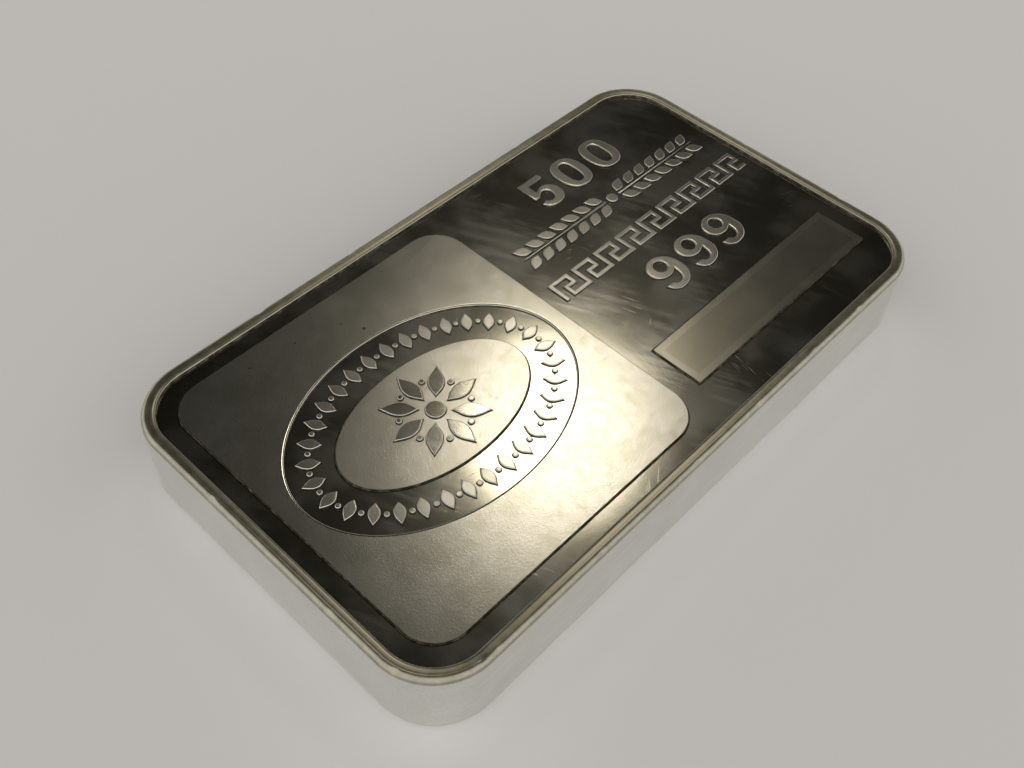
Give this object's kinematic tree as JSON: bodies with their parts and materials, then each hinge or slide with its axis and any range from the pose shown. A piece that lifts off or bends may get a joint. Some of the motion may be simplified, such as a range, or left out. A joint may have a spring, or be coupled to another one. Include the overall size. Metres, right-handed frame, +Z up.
{
  "type": "silver bar",
  "caption": "Flat struck silver bullion bar with round corners, a raised rim, a sunk polished field, a frosted panel with an oval band and a bare number plate.",
  "frame": {"origin": "middle of the flat underside, below the middle of the bar's outline", "axes": "+X along the length towards the end with the number plate, +Y across the bar towards the head of the numerals, +Z up out of the struck face"},
  "size_m": [0.09, 0.052, 0.0107],
  "materials": {
    "silver": "fine silver: frosted relief and rim over a mirror-polished field, lightly scratched"
  },
  "bodies": {
    "root": {"bar": "silver"}
  },
  "joints": []
}
